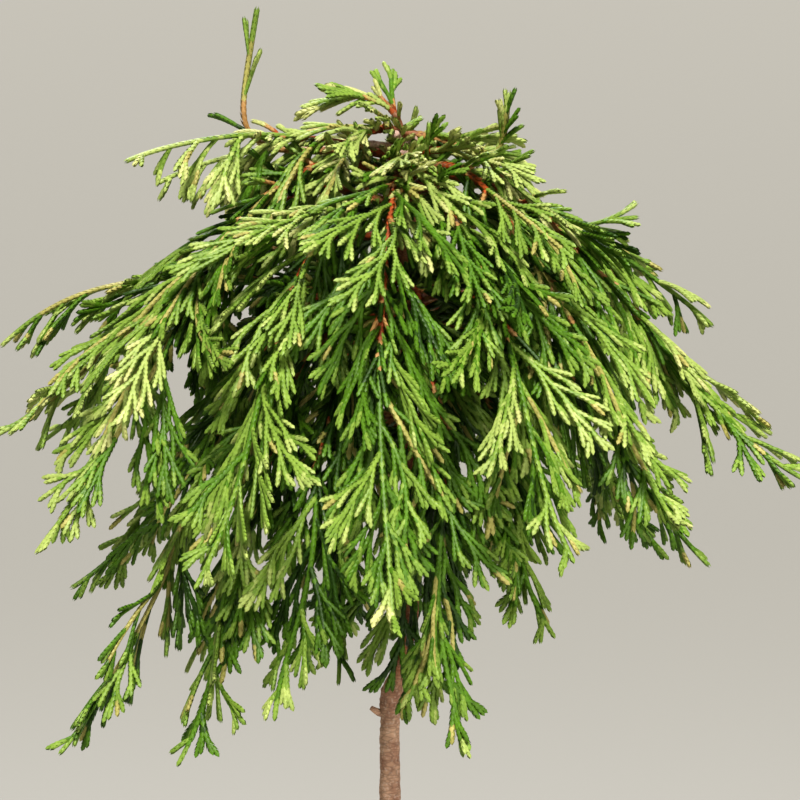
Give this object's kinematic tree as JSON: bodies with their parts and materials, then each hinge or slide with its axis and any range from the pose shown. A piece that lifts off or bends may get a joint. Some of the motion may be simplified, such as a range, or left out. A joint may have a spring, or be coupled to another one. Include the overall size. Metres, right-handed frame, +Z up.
{
  "type": "potted weeping western red cedar",
  "caption": "Weeping western red cedar grafted on a bare stem, with an arching crown of cord-like sprays, in a plain round clay pot of compost.",
  "frame": {"origin": "middle of the pot's flat underside", "axes": "+Z up along the stem, -Y towards the front of the plant as pictured, +X to its right"},
  "size_m": [0.4208, 0.3695, 0.918],
  "materials": {
    "terracotta": "matt unglazed clay, a little lime bloom",
    "compost": "dark crumbly peat and bark compost",
    "bark": "brown bark, finely ringed",
    "young_bark": "thin orange-brown bark",
    "foliage": "satin scale leaves, mid green with yellow-green and tan ends"
  },
  "bodies": {
    "root": {"bough_left_shoot": "young_bark", "bough_left_whip": "young_bark", "bough_lower_left": "young_bark", "bough_lower_left_front": "young_bark", "bough_top_left_fan": "young_bark", "bough_upper_back": "young_bark", "bough_upper_back_left": "young_bark", "bough_upper_back_middle": "young_bark", "bough_upper_back_right": "young_bark", "bough_upper_front": "young_bark", "bough_upper_front_left": "young_bark", "bough_upper_front_right": "young_bark", "bough_upper_left": "young_bark", "bough_upper_left_back": "young_bark", "bough_upper_left_front": "young_bark", "bough_upper_right": "young_bark", "bough_upper_right_back": "young_bark", "bough_upper_right_front": "young_bark", "compost": "compost", "mass_inner_back": "foliage", "mass_inner_left": "foliage", "mass_inner_right": "foliage", "mass_left_shoot": "foliage", "mass_left_whip": "foliage", "mass_lower_back": "foliage", "mass_lower_back_left": "foliage", "mass_lower_back_right": "foliage", "mass_lower_front": "foliage", "mass_lower_front_left": "foliage", "mass_lower_left": "foliage", "mass_lower_left_back": "foliage", "mass_lower_left_front": "foliage", "mass_lower_right": "foliage", "mass_lower_right_back": "foliage", "mass_lower_right_front": "foliage", "mass_right_fan": "foliage", "mass_right_shoot": "foliage", "mass_top_back": "foliage", "mass_top_front": "foliage", "mass_top_front_left": "foliage", "mass_top_hump": "foliage", "mass_top_left": "foliage", "mass_top_left_fan": "foliage", "mass_top_right": "foliage", "mass_top_right_fan": "foliage", "mass_upper_back": "foliage", "mass_upper_back_left": "foliage", "mass_upper_back_middle": "foliage", "mass_upper_back_right": "foliage", "mass_upper_front": "foliage", "mass_upper_front_left": "foliage", "mass_upper_front_right": "foliage", "mass_upper_left": "foliage", "mass_upper_left_back": "foliage", "mass_upper_left_front": "foliage", "mass_upper_right": "foliage", "mass_upper_right_back": "foliage", "mass_upper_right_front": "foliage", "pot": "terracotta", "trunk": "bark"}
  },
  "joints": []
}
